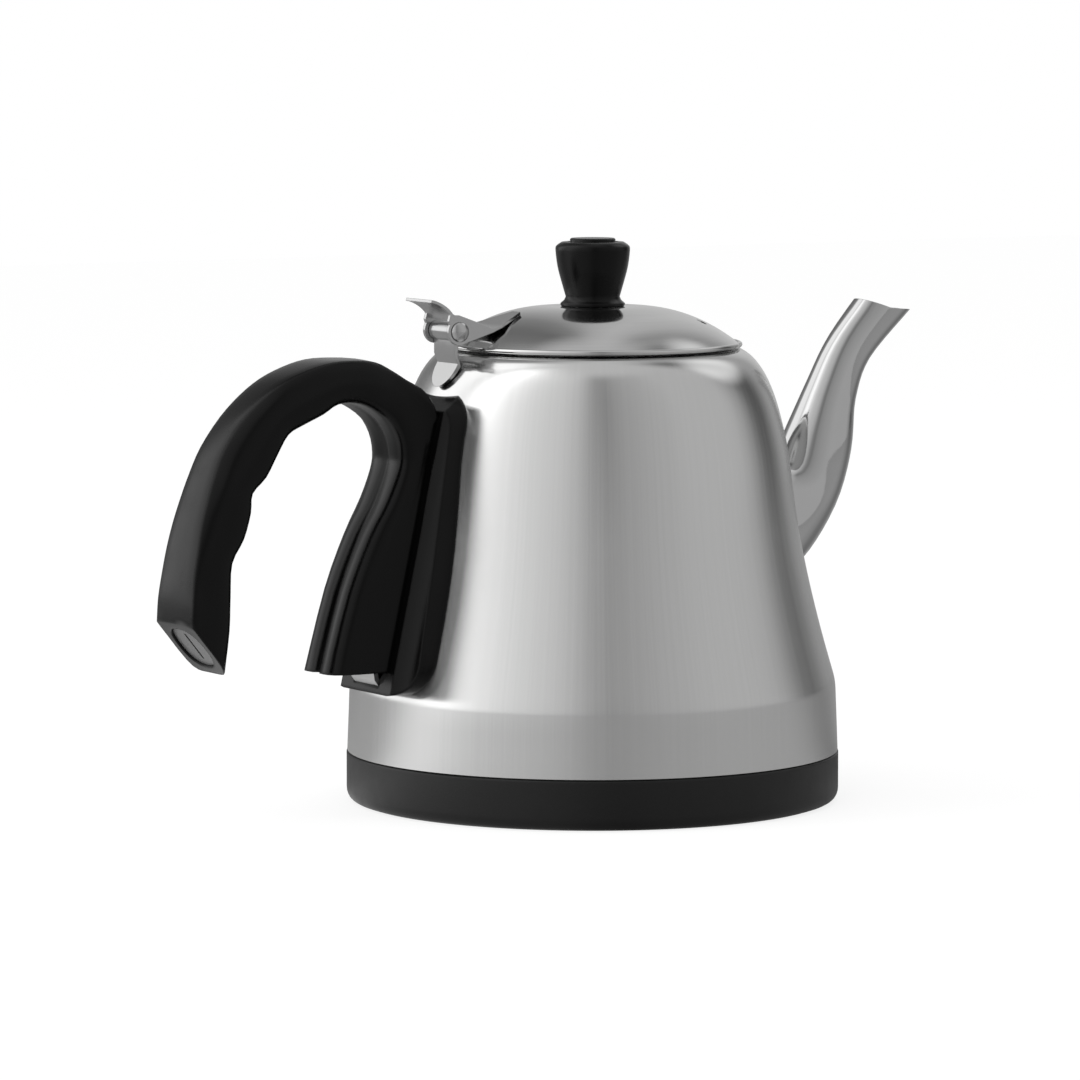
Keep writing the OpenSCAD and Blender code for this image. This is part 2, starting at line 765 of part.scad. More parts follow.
// Section of the handle at step i. s runs in from the outer face, y across.
function handle_ring(i) =
    let (o = handle_out[i], e = unit(handle_in[i] - o), d = norm(handle_in[i] - o), r = grip_round,
         w0 = handle_w0[i], w1 = handle_w1[i], g = handle_g[i], gw = limb_groove_w / 2, q = handle_q[i],
         half = [
             [0.03 * r, 0.5 * w0], [0.1 * r, w0 - 0.18 * r], [0.26 * r, w0],
             [0.76 * r, w0 + 0.62 * (w1 - w0)], [0.34 * d, w1 - 0.04 * r],
             [0.6 * d, w1], [d - 0.65 * q, w1 - 0.09 * q], [d - 0.24 * q, w1 - 0.3 * q],
             [d - 0.05 * q, w1 - 0.65 * q], [d, w1 - q], [d - 0.12 * g, gw], [d - 0.8 * g, 0.35 * gw]
         ],
         section = concat([[0, 0]], half, [[d - g, 0]], [for (p = backwards(half)) [p[0], -p[1]]]))
    [for (p = backwards(section)) [o[0] + p[0] * e[0], p[1], o[1] + p[0] * e[1]]];

// Places something on the grip's end face: z goes into the grip, x along the face
module on_grip_end() {
    a = handle_out[0];
    b = handle_in[0];
    mid = (a + b) / 2;
    translate([mid[0], 0, mid[1]])
        rotate([0, atan2(a[1] - b[1], b[0] - a[0]), 0])
            children();
}

end_face_len = norm(handle_in[0] - handle_out[0]);
module end_lens(inset) {
    polygon([for (k = [0:35])
        let (t = 10 * k, c = cos(t), s = sin(t))
        [(end_face_len / 2 - 0.7 * grip_round - inset) * sign(c) * pow(abs(c), 0.8),
         (grip_half - 0.88 * grip_round - inset) * sign(s) * pow(abs(s), 0.8)]]);
}

module handle_grip() {
    color([0.08, 0.08, 0.08])
    difference() {
        skin([for (i = [0:handle_steps]) handle_ring(i)]);
        behind_seat_face(0);
        on_grip_end()
            translate([0, 0, -2])
                linear_extrude(plug_pocket + 2)
                    end_lens(0);
        translate([hook_end[0] - 1, -bracket_w / 2 - 0.5, hook_z - bracket_t / 2 - 0.2])
            cube([far, bracket_w + 1, bracket_t + 0.4]);
        translate([limb_screw_x - 1.4 * handle_screw_d, -bracket_w / 2 - 0.5, limb_foot_z - far])
            cube([far, bracket_w + 1, far + foot_pocket]);
        translate([limb_screw_x, 0, limb_foot_z])
            cylinder(d = handle_screw_d + 2 * screw_fit, h = foot_pocket + handle_screw_l + 0.8);
    }
}

module grip_end_plug() {
    recess = 0.8;
    color([0.14, 0.14, 0.14])
    on_grip_end()
        difference() {
            translate([0, 0, recess])
                linear_extrude(plug_pocket - recess - seat_gap)
                    end_lens(0.1);
            translate([-end_face_len / 2 + 5, -0.6, 0])
                cube([end_face_len - 10, 1.2, recess + 1.4]);
        }
}

// Steel strip behind the seat, with a hook into the limb above and a tab under its foot
hook_z = 106;
limb_screw_x = seat_x(limb_foot_z) - handle_screw_out;
strip_top = [-(wall_r(hook_z) + bracket_t / 2 + 0.2), hook_z];
strip_foot = [-(wall_r(37) + bracket_t / 2 + 0.2), 37];
hook_end = [seat_x(hook_z) - 4, hook_z];
foot_pocket = 5.2;
tab_z = limb_foot_z + foot_pocket - bracket_t / 2 - seat_gap;
module bracket_plate(t, w) {
    path = [
        hook_end, strip_top + [-1.6, 0], strip_top + [-0.4, -1.6],
        strip_foot + [0, 2], strip_foot + [-1.6, 0.8], [limb_screw_x + 6.4, limb_foot_z - 2.4],
        [limb_screw_x + 5.4, tab_z - 0.8], [limb_screw_x + 4.2, tab_z],
        [limb_screw_x - 1.2 * handle_screw_d, tab_z]
    ];
    translate([0, w / 2, 0])
        rotate([90, 0, 0])
            linear_extrude(w)
                polygon(concat(aside(path, t / 2), backwards(aside(path, -t / 2))));
}

module handle_bracket() {
    color("gainsboro")
    difference() {
        bracket_plate(bracket_t, bracket_w);
        body_solid(seat_gap);
        translate([limb_screw_x, 0, tab_z - 3])
            cylinder(d = handle_screw_d + 0.6, h = 6);
    }
}

module handle_screw() {
    head_h = 2.6;
    z = tab_z - bracket_t / 2 - seat_gap - head_h;
    tip_z = limb_foot_z + foot_pocket + handle_screw_l;
    color("silver")
    translate([limb_screw_x, 0, 0])
        difference() {
            union() {
                translate([0, 0, z])
                    cylinder(r = handle_screw_d * 0.85, h = head_h);
                translate([0, 0, z + head_h - eps])
                    cylinder(d = handle_screw_d, h = tip_z - z - head_h);
            }
            cross_recess(z, 2.6, 1.4);
        }
}

// ---- lid --------------------------------------------------------------------------------------

lid_r = rim_r + lid_proud;
lid_foot_z = ledge_z + lid_gap;
crown_z = rim_z + crown_h;
bead_r = 0.8;
lid_edge = [lid_r - bead_r, lid_foot_z + bead_r];
dome_foot = lid_edge + [-0.2, 0.2];
dome_top = [knob_seat_r, crown_z];
dome_line = cubic_line([
    dome_foot, dome_foot + 0.42 * (dome_foot[0] - dome_top[0]) * [-cos(dome_rise), sin(dome_rise)],
    dome_top + [0.338 * (dome_foot[0] - dome_top[0]), 0.6], dome_top], 18);
function dome_z(r) = lookup(-r, [for (p = dome_line) [-p[0], p[1]]]);

module lid_shell() {
    seat_line = concat(dome_line, [[0, crown_z]]);
    color("silver")
    difference() {
        union() {
            rotate_extrude()
                polygon(concat(seat_line, [[0, crown_z - lid_wall]],
                               backwards(aside(dome_line, -lid_wall))));
            rotate_extrude()
                translate(lid_edge)
                    circle(r = bead_r, $fn = 24);
        }
        translate([0, 0, crown_z - 3])
            cylinder(d = knob_screw_d + 2 * screw_fit, h = 6);
        rotate([0, 0, vent_bearing])
            translate([vent_at, 0, rim_z])
                cylinder(d = vent_d, h = crown_h);
    }
}

pan_r = mouth_r - pan_gap;
pan_flange_r = mouth_r + 2.2;
module lid_pan() {
    foot_z = ledge_z - pan_depth;
    color("gainsboro")
    rotate_extrude()
        polygon([
            [0, foot_z], [pan_r - 1.2, foot_z], [pan_r, foot_z + 1.2], [pan_r, lid_foot_z],
            [pan_flange_r, lid_foot_z], [pan_flange_r, lid_foot_z + 0.7],
            [pan_r - lid_wall, lid_foot_z + 0.7],
            [pan_r - lid_wall, foot_z + 1.5], [pan_r - 1.5, foot_z + lid_wall], [0, foot_z + lid_wall]
        ]);
}

knob_z = crown_z + seat_gap;
module lid_knob() {
    h = knob_h;
    bulge = [[knob_waist_r, 0.14 * h], [knob_waist_r + 0.42 * (knob_r - knob_waist_r), 0.36 * h],
             [knob_waist_r + 0.8 * (knob_r - knob_waist_r), 0.58 * h], [knob_r, 0.82 * h],
             [knob_r - 0.3, 0.89 * h], [knob_r - 1.9, 0.945 * h]];
    color([0.1, 0.1, 0.1])
    translate([0, 0, knob_z])
        difference() {
            rotate_extrude()
                polygon(concat(
                    [[0, 0], [knob_foot_r - 0.3, 0], [knob_foot_r, 0.4], [knob_foot_r, 0.9],
                     [knob_waist_r + 0.5, 0.09 * h]],
                    smooth(bulge, 15),
                    [[knob_disc_r + 0.9, 0.95 * h], [knob_disc_r + 0.6, 0.925 * h], [knob_disc_r, 0.925 * h],
                     [knob_disc_r, 0.985 * h], [knob_disc_r - 0.4, h], [0, h]]));
            translate([0, 0, -1])
                cylinder(d = knob_screw_d + 2 * screw_fit, h = 1 + 0.6 * h);
        }
}

washer_t = 1;
module knob_washer() {
    color("silver")
    translate([0, 0, crown_z - lid_wall - seat_gap - washer_t])
        difference() {
            cylinder(d = 2.5 * knob_screw_d, h = washer_t);
            translate([0, 0, -1])
                cylinder(d = knob_screw_d + 2 * screw_fit, h = washer_t + 2);
        }
}

module knob_screw() {
    head_h = 2.4;
    z = crown_z - lid_wall - 2 * seat_gap - washer_t - head_h;
    color("silver")
    difference() {
        union() {
            translate([0, 0, z])
                cylinder(d = 1.9 * knob_screw_d, h = head_h);
            translate([0, 0, z + head_h - eps])
                cylinder(d = knob_screw_d, h = 0.6 * knob_h);
        }
        cross_recess(z, 0.6 * knob_screw_d, 1.4);
    }
}

// ---- hinge ------------------------------------------------------------------------------------

pin_at = [-(lid_r + pin_out), rim_z + pin_up];
ear_in = strap_w / 2 + side_play;
leaf_half = ear_in + strap_t;
knuckle_r = pin_d / 2 + pin_fit + strap_t;

module across_y(half) {
    translate([0, half, 0])
        rotate([90, 0, 0])
            linear_extrude(2 * half)
                children();
}

// Fixed strap: a knuckle about the pin, a leg down to the shoulder and a straight foot
// that touches the shoulder where it is welded
module hinge_strap() {
    foot_z = rim_z - 9.6;
    weld_z = rim_z - 7.4;
    slope = (wall_r(weld_z - 1) - wall_r(weld_z + 1)) / 2;
    function foot_x(z) = -(wall_r(weld_z) + seat_gap + 0.05 + slope * (weld_z - z));
    leg_x = pin_at[0] + 0.2;
    bend_z = rim_z - 0.6;
    out = strap_t * norm([1, slope]);
    color("silver")
    difference() {
        intersection() {
            union() {
                across_y(strap_w)
                    translate(pin_at)
                        circle(r = knuckle_r);
                across_y(strap_w)
                    polygon([
                        [leg_x, pin_at[1]], [leg_x, bend_z], [foot_x(bend_z - 2.6), bend_z - 2.6],
                        [foot_x(foot_z - 1), foot_z - 1], [foot_x(foot_z - 1) - out, foot_z - 1],
                        [foot_x(bend_z - 2) - out, bend_z - 2], [leg_x - strap_t, bend_z + 0.8],
                        [leg_x - strap_t, pin_at[1]]
                    ]);
            }
            rotate([90, 0, -90])
                linear_extrude(far)
                    polygon(concat(arc([0, foot_z + strap_w / 2], strap_w / 2, 180, 360, 24),
                                   [[strap_w / 2, far], [-strap_w / 2, far]]));
        }
        pin_hole();
    }
}

module pin_hole() {
    translate([pin_at[0], 0, pin_at[1]])
        rotate([90, 0, 0])
            cylinder(d = pin_d + 2 * pin_fit, h = far, center = true, $fn = 48);
}

// Pin with a domed head on the near side and a flat burr on the far side
module hinge_pin() {
    head_h = 1.4;
    dome_r = (head_h * head_h + pin_head_d * pin_head_d / 4) / (2 * head_h);
    burr_h = 1;
    color("silver")
    translate([pin_at[0], 0, pin_at[1]])
        rotate([90, 0, 0]) {
            translate([0, 0, -leaf_half - side_play])
                cylinder(d = pin_d, h = 2 * (leaf_half + side_play), $fn = 48);
            translate([0, 0, -leaf_half - side_play - burr_h])
                cylinder(d = pin_d + 1.6, h = burr_h);
            translate([0, 0, leaf_half + side_play])
                intersection() {
                    cylinder(d = pin_head_d, h = head_h);
                    translate([0, 0, head_h - dome_r])
                        sphere(r = dome_r);
                }
        }
}

// Moving leaf: two ears on the pin, a tongue on the dome and a thumb lever behind
module hinge_leaf() {
    touch_r = tongue_tip_r + 2.5;
    rise = atan((dome_z(touch_r) - dome_z(touch_r + 1)));
    along = [cos(rise), sin(rise)];
    up = [-sin(rise), cos(rise)];
    touch = [-touch_r, dome_z(touch_r) + seat_gap];
    tongue_root = touch - 13 * along;
    tongue_end = touch + 2 * along;
    ear_top = pin_at + [-1.4, ear_r + 1];
    lever_tip = pin_at + [-lever_reach, lever_rise];
    lever_t = 0.9;
    lever = bend(pin_at + [-2.2, 3.9], [-0.5, 2.4], lever_tip, [-3.2, 0.5], 8);
    color("silver")
    difference() {
        union() {
            for (side = [-1, 1])
                translate([0, side * (ear_in + strap_t / 2), 0])
                    across_y(strap_t / 2)
                        union() {
                            translate(pin_at)
                                circle(r = ear_r);
                            polygon([
                                pin_at + ear_r * [cos(250), sin(250)], pin_at + ear_r * [cos(300), sin(300)],
                                tongue_root + 1.4 * along - 0.2 * up, tongue_root + 4 * along,
                                tongue_root + 1.5 * along + strap_t * up, ear_top + [1.2, 0], ear_top,
                                lever[2], lever[0] + [-1.6, -0.6]
                            ]);
                        }
            intersection() {
                across_y(leaf_half)
                    polygon([
                        tongue_root, tongue_end,
                        tongue_end + strap_t * 0.8 * up, tongue_root + strap_t * 0.8 * up
                    ]);
                translate([0, 0, -eps])
                    linear_extrude(far)
                        polygon([
                            [tongue_root[0] - 1, leaf_half], [tongue_root[0] + 4.5, leaf_half],
                            [tongue_end[0] - 1, 2.6], [tongue_end[0] + 1, 1.2], [tongue_end[0] + 1, -1.2],
                            [tongue_end[0] - 1, -2.6], [tongue_root[0] + 4.5, -leaf_half],
                            [tongue_root[0] - 1, -leaf_half]
                        ]);
            }
            across_y(leaf_half)
                polygon(concat(aside(lever, lever_t / 2), backwards(aside(lever, -lever_t / 2))));
        }
        pin_hole();
    }
}

// ---- drawing ----------------------------------------------------------------------------------

body_shell();
vessel_floor();
spout();
base_skirt();
base_gasket();
base_cover();
floor_studs();
base_screws();
heat_plate();
heating_element();
element_terminals();
connector_socket();
contact_rings();
socket_screws();
cutout_discs();
thermal_fuse();
temperature_sensor();
live_lead();
neutral_lead();
earth_lead();
handle_seat();
handle_grip();
grip_end_plug();
handle_bracket();
handle_screw();
hinge_strap();
hinge_pin();
lid_shell();
lid_pan();
lid_knob();
knob_washer();
knob_screw();
hinge_leaf();
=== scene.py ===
import json
import math

import bpy
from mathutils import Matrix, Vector

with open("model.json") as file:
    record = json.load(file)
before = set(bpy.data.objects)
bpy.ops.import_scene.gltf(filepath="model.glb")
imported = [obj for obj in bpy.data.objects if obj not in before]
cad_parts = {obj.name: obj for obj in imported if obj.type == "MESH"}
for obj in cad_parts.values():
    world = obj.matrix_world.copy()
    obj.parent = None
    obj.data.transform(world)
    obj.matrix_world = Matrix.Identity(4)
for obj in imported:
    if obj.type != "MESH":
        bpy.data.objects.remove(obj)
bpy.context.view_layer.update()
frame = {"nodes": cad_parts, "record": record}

scene = bpy.context.scene
scene.view_settings.view_transform = "Standard"
nodes = frame["nodes"]

# ---- camera and studio ------------------------------------------------------------------

CAMERA_BEARING = math.radians(31)
FLOOR_HALF_WIDTH = 3.0
FLOOR_GREY = 0.22
FLOOR_SEEN_GLOW = 0.825      # with the light on the floor, this is white
FLOOR_MIRRORED_SHARE = 0.43  # of the walls' light, as metal mirrors it in the floor
WALL_SIDE_STRIP = 1.5
FLOOR_SIDE_STRIP = 0.45
back = Vector((-math.sin(CAMERA_BEARING), -math.cos(CAMERA_BEARING), 0))
right = Vector((math.cos(CAMERA_BEARING), -math.sin(CAMERA_BEARING), 0))


def make_camera():
    camera = bpy.data.cameras.new("kettle_camera")
    camera.sensor_width = 36
    camera.lens = 203.9
    camera.clip_start = 0.05
    camera.clip_end = 50
    holder = bpy.data.objects.new("kettle_camera", camera)
    scene.collection.objects.link(holder)
    holder.location = (-0.968, -1.580, 0.256)
    holder.rotation_euler = (math.radians(84.545), 0, -CAMERA_BEARING)
    scene.camera = holder


def node(tree, kind, **settings):
    made = tree.nodes.new(kind)
    for name, value in settings.items():
        setattr(made, name, value)
    return made


def ramp_stops(ramp, stops, interpolation="EASE"):
    ramp.interpolation = interpolation
    while len(ramp.elements) > 1:
        ramp.elements.remove(ramp.elements[-1])
    ramp.elements[0].position = stops[0][0]
    ramp.elements[0].color = (stops[0][1],) * 3 + (1,)
    for place, level in stops[1:]:
        ramp.elements.new(place).color = (level,) * 3 + (1,)


def dot(tree, vector, direction):
    made = node(tree, "ShaderNodeVectorMath", operation="DOT_PRODUCT")
    tree.links.new(vector, made.inputs[0])
    made.inputs[1].default_value = direction
    return made.outputs["Value"]


def walls_round(tree, to_back, to_right, side_strip):
    """Light and grey walls by bearing: 0 behind the camera, positive to the right. side_strip is a lamp
    far round to the left, which only the handle's outer faces mirror."""
    bearing = node(tree, "ShaderNodeMath", operation="ARCTAN2")
    tree.links.new(to_right, bearing.inputs[0])
    tree.links.new(to_back, bearing.inputs[1])
    turn = node(tree, "ShaderNodeMapRange")
    turn.inputs["From Min"].default_value = -math.pi
    turn.inputs["From Max"].default_value = math.pi
    tree.links.new(bearing.outputs[0], turn.inputs["Value"])
    walls = node(tree, "ShaderNodeValToRGB")
    ramp_stops(walls.color_ramp, [
        ((d + 180) / 360, level) for d, level in (
            (-180, 0.56), (-170, 0.3), (-160, 0.2), (-148, 0.24), (-136, 0.4), (-128, side_strip),
            (-106, side_strip), (-97, 1.1), (-90, 1.7), (-77, 1.95), (-62, 1.3), (-47, 1.0), (-33, 0.86),
            (-20, 0.79), (-8, 0.62), (0, 0.38), (8, 0.29), (16, 0.42), (32, 0.5), (45, 0.54), (60, 0.6),
            (98, 0.6), (110, 0.4), (119, 0.14), (129, 0.08), (137, 0.26), (145, 0.42), (153, 0.4), (162, 0.6),
            (170, 0.66), (180, 0.56))],
        "LINEAR")
    tree.links.new(turn.outputs[0], walls.inputs[0])
    return walls.outputs[0]


def make_studio_walls():
    """World: white behind the object, and a soft studio of light and grey walls all round it."""
    world = bpy.data.worlds.new("studio")
    scene.world = world
    world.use_nodes = True
    tree = world.node_tree
    tree.nodes.clear()
    ray = node(tree, "ShaderNodeTexCoord").outputs["Generated"]
    to_back, to_right, up = dot(tree, ray, back), dot(tree, ray, right), dot(tree, ray, (0, 0, 1))

    walls = walls_round(tree, to_back, to_right, WALL_SIDE_STRIP)

    across = node(tree, "ShaderNodeMapRange")
    across.inputs["From Min"].default_value = -1
    tree.links.new(to_right, across.inputs["Value"])
    ceiling = node(tree, "ShaderNodeValToRGB")
    ramp_stops(ceiling.color_ramp, [(0.0, 1.0), (0.35, 0.8), (0.5, 0.66), (1.0, 0.6)])
    tree.links.new(across.outputs[0], ceiling.inputs[0])

    height = node(tree, "ShaderNodeMapRange", interpolation_type="SMOOTHSTEP")
    height.inputs["From Min"].default_value = 0.86
    height.inputs["From Max"].default_value = 0.99
    tree.links.new(up, height.inputs["Value"])
    room = node(tree, "ShaderNodeMix", data_type="RGBA")
    tree.links.new(height.outputs[0], room.inputs["Factor"])
    tree.links.new(walls, room.inputs["A"])
    tree.links.new(ceiling.outputs[0], room.inputs["B"])

    turn_to, lift = math.radians(127), math.radians(41)
    level_way = math.cos(turn_to) * back + math.sin(turn_to) * right
    window = math.cos(lift) * level_way + Vector((0, 0, math.sin(lift)))
    patch = node(tree, "ShaderNodeMapRange", interpolation_type="SMOOTHSTEP")
    patch.inputs["From Min"].default_value = math.cos(math.radians(20))
    patch.inputs["From Max"].default_value = math.cos(math.radians(7))
    tree.links.new(dot(tree, ray, window), patch.inputs["Value"])
    window_glow = node(tree, "ShaderNodeBackground")
    tree.links.new(patch.outputs[0], window_glow.inputs["Strength"])

    seen = node(tree, "ShaderNodeBackground")
    seen.inputs["Color"].default_value = (1, 1, 1, 1)
    walls_glow = node(tree, "ShaderNodeBackground")
    tree.links.new(room.outputs["Result"], walls_glow.inputs["Color"])
    lit = node(tree, "ShaderNodeAddShader")
    tree.links.new(walls_glow.outputs[0], lit.inputs[0])
    tree.links.new(window_glow.outputs[0], lit.inputs[1])
    path = node(tree, "ShaderNodeLightPath")
    mix = node(tree, "ShaderNodeMixShader")
    tree.links.new(path.outputs["Is Camera Ray"], mix.inputs[0])
    tree.links.new(lit.outputs[0], mix.inputs[1])
    tree.links.new(seen.outputs[0], mix.inputs[2])
    out = node(tree, "ShaderNodeOutputWorld")
    tree.links.new(mix.outputs[0], out.inputs["Surface"])


def make_lamp(name, bearing, distance, height, size, power):
    """Soft lamp on a bearing from the camera's side, aimed at the middle of the kettle."""
    lamp = bpy.data.lights.new(name, "AREA")
    lamp.shape = "RECTANGLE"
    lamp.size, lamp.size_y = size
    lamp.energy = power
    holder = bpy.data.objects.new(name, lamp)
    scene.collection.objects.link(holder)
    turn = math.radians(bearing)
    holder.location = distance * (math.cos(turn) * back + math.sin(turn) * right) + Vector((0, 0, height))
    aim = Vector((0, 0, 0.09)) - holder.location
    holder.rotation_euler = aim.to_track_quat("-Z", "Y").to_euler()
    holder.visible_glossy = False


def make_floor():
    size = FLOOR_HALF_WIDTH
    mesh = bpy.data.meshes.new("floor")
    corners = [(-size, -size, 0), (size, -size, 0), (size, size, 0), (-size, size, 0)]
    mesh.from_pydata(corners, [], [(0, 1, 2, 3)])
    floor = bpy.data.objects.new("floor", mesh)
    scene.collection.objects.link(floor)
    material = bpy.data.materials.new("pale_floor")
    material.use_nodes = True
    material.cycles.emission_sampling = "NONE"
    tree = material.node_tree
    tree.nodes.clear()
    paint = node(tree, "ShaderNodeBsdfDiffuse")
    paint.inputs["Color"].default_value = (FLOOR_GREY, FLOOR_GREY, FLOOR_GREY, 1)
    glow = node(tree, "ShaderNodeEmission")
    path = node(tree, "ShaderNodeLightPath")
    seen = node(tree, "ShaderNodeMath", operation="MULTIPLY")
    seen.inputs[1].default_value = FLOOR_SEEN_GLOW
    tree.links.new(path.outputs["Is Camera Ray"], seen.inputs[0])
    place = node(tree, "ShaderNodeTexCoord").outputs["Object"]
    walls = walls_round(tree, dot(tree, place, back), dot(tree, place, right), FLOOR_SIDE_STRIP)
    mirrored = node(tree, "ShaderNodeMath", operation="MULTIPLY")
    mirrored.inputs[1].default_value = FLOOR_MIRRORED_SHARE
    tree.links.new(walls, mirrored.inputs[0])
    strength = node(tree, "ShaderNodeMath", operation="MULTIPLY_ADD")
    tree.links.new(mirrored.outputs[0], strength.inputs[1])
    tree.links.new(path.outputs["Is Glossy Ray"], strength.inputs[0])
    tree.links.new(seen.outputs[0], strength.inputs[2])
    tree.links.new(strength.outputs[0], glow.inputs["Strength"])
    total = node(tree, "ShaderNodeAddShader")
    tree.links.new(paint.outputs[0], total.inputs[0])
    tree.links.new(glow.outputs[0], total.inputs[1])
    out = node(tree, "ShaderNodeOutputMaterial")
    tree.links.new(total.outputs[0], out.inputs["Surface"])
    mesh.materials.append(material)


make_camera()
make_studio_walls()
make_lamp("left_softbox", -68, 1.3, 0.62, (0.62, 0.8), 2.5)
make_lamp("top_softbox", 20, 0.25, 1.5, (0.9, 0.9), 5)
make_floor()

# ---- shared effects -----------------------------------------------------------------------


def group(name, inputs, outputs):
    tree = bpy.data.node_groups.new(name, "ShaderNodeTree")
    for label, kind, value in inputs:
        socket = tree.interface.new_socket(label, in_out="INPUT", socket_type=kind)
        if value is not None:
            socket.default_value = value
    for label, kind in outputs:
        tree.interface.new_socket(label, in_out="OUTPUT", socket_type=kind)
    return tree, node(tree, "NodeGroupInput"), node(tree, "NodeGroupOutput")


def math_node(tree, operation, a, b=None, clamp=False):
    made = node(tree, "ShaderNodeMath", operation=operation, use_clamp=clamp)
    for socket, value in zip(made.inputs, (a, b)):
        if value is None:
            continue
        if isinstance(value, (int, float)):
            socket.default_value = value
        else:
            tree.links.new(value, socket)
    return made.outputs[0]


def noise(tree, vector, scale, detail=2.0, roughness=0.5):
    made = node(tree, "ShaderNodeTexNoise")
    tree.links.new(vector, made.inputs["Vector"])
    for label, value in (("Scale", scale), ("Detail", detail), ("Roughness", roughness)):
        if isinstance(value, (int, float)):
            made.inputs[label].default_value = value
        else:
            tree.links.new(value, made.inputs[label])
    return made.outputs["Fac"]


def make_brushing(name, upright):
    """Fine lines left by a brush: up and down the kettle's flank, or round its upright axis."""
    tree, inlet, outlet = group(
        name, [("Lines", "NodeSocketFloat", 1.0), ("Position", "NodeSocketVector", None)],
        [("Streak", "NodeSocketFloat"), ("Height", "NodeSocketFloat")])
    split = node(tree, "ShaderNodeSeparateXYZ")
    tree.links.new(inlet.outputs["Position"], split.inputs[0])
    x, y, z = split.outputs
    squares = [math_node(tree, "MULTIPLY", axis, axis) for axis in (x, y)]
    radius = math_node(tree, "SQRT", math_node(tree, "ADD", *squares))
    turn = math_node(tree, "ARCTAN2", y, x)
    lines = inlet.outputs["Lines"]
    place = node(tree, "ShaderNodeCombineXYZ")
    if upright:
        lines_round = math_node(tree, "MULTIPLY", lines, 0.065)
        tree.links.new(math_node(tree, "MULTIPLY", turn, lines_round), place.inputs[0])
        tree.links.new(math_node(tree, "MULTIPLY", z, 7.0), place.inputs[2])
    else:
        tree.links.new(math_node(tree, "MULTIPLY", radius, lines), place.inputs[0])
        tree.links.new(math_node(tree, "MULTIPLY", z, lines), place.inputs[1])
        tree.links.new(math_node(tree, "MULTIPLY", turn, 1.6), place.inputs[2])
    wide = noise(tree, place.outputs[0], 0.22, 3.0, 0.6)
    fine = noise(tree, place.outputs[0], 1.0, 2.0, 0.6)
    halves = [math_node(tree, "MULTIPLY", part, 0.5) for part in (wide, fine)]
    streak = math_node(tree, "ADD", *halves)
    tree.links.new(streak, outlet.inputs["Streak"])
    tree.links.new(fine, outlet.inputs["Height"])
    return tree


def make_handling_marks():
    """Faint smudges and wiped patches: 0 on clean surface, up to 1 in a smudge."""
    tree, inlet, outlet = group(
        "handling_marks", [("Size", "NodeSocketFloat", 1.0), ("Position", "NodeSocketVector", None)],
        [("Smudge", "NodeSocketFloat"), ("Cloud", "NodeSocketFloat")])
    cloud = noise(tree, inlet.outputs["Position"], inlet.outputs["Size"], 4.0, 0.6)
    spot_size = math_node(tree, "MULTIPLY", inlet.outputs["Size"], 4.3)
    spots = noise(tree, inlet.outputs["Position"], spot_size, 3.0, 0.7)
    edge = node(tree, "ShaderNodeMapRange", interpolation_type="SMOOTHSTEP")
    edge.inputs["From Min"].default_value = 0.52
    edge.inputs["From Max"].default_value = 0.72
    shares = [math_node(tree, "MULTIPLY", part, share) for part, share in ((cloud, 0.6), (spots, 0.4))]
    tree.links.new(math_node(tree, "ADD", *shares), edge.inputs["Value"])
    tree.links.new(edge.outputs[0], outlet.inputs["Smudge"])
    tree.links.new(cloud, outlet.inputs["Cloud"])
    return tree


def make_moulded_grain():
    """Fine even grain of a moulded surface, and the slow waviness that sits under it."""
    tree, inlet, outlet = group(
        "moulded_grain", [("Size", "NodeSocketFloat", 1.0), ("Position", "NodeSocketVector", None)],
        [("Height", "NodeSocketFloat"), ("Tone", "NodeSocketFloat")])
    fine = noise(tree, inlet.outputs["Position"], inlet.outputs["Size"], 2.0, 0.6)
    slow = noise(tree, inlet.outputs["Position"], 45.0, 2.0, 0.5)
    height = math_node(tree, "ADD", fine, math_node(tree, "MULTIPLY", slow, 0.35))
    tree.links.new(height, outlet.inputs["Height"])
    tree.links.new(slow, outlet.inputs["Tone"])
    return tree


UPRIGHT_BRUSHING = make_brushing("upright_brushing", True)
TURNED_BRUSHING = make_brushing("turned_brushing", False)
HANDLING_MARKS = make_handling_marks()
MOULDED_GRAIN = make_moulded_grain()

# ---- finishes -----------------------------------------------------------------------------


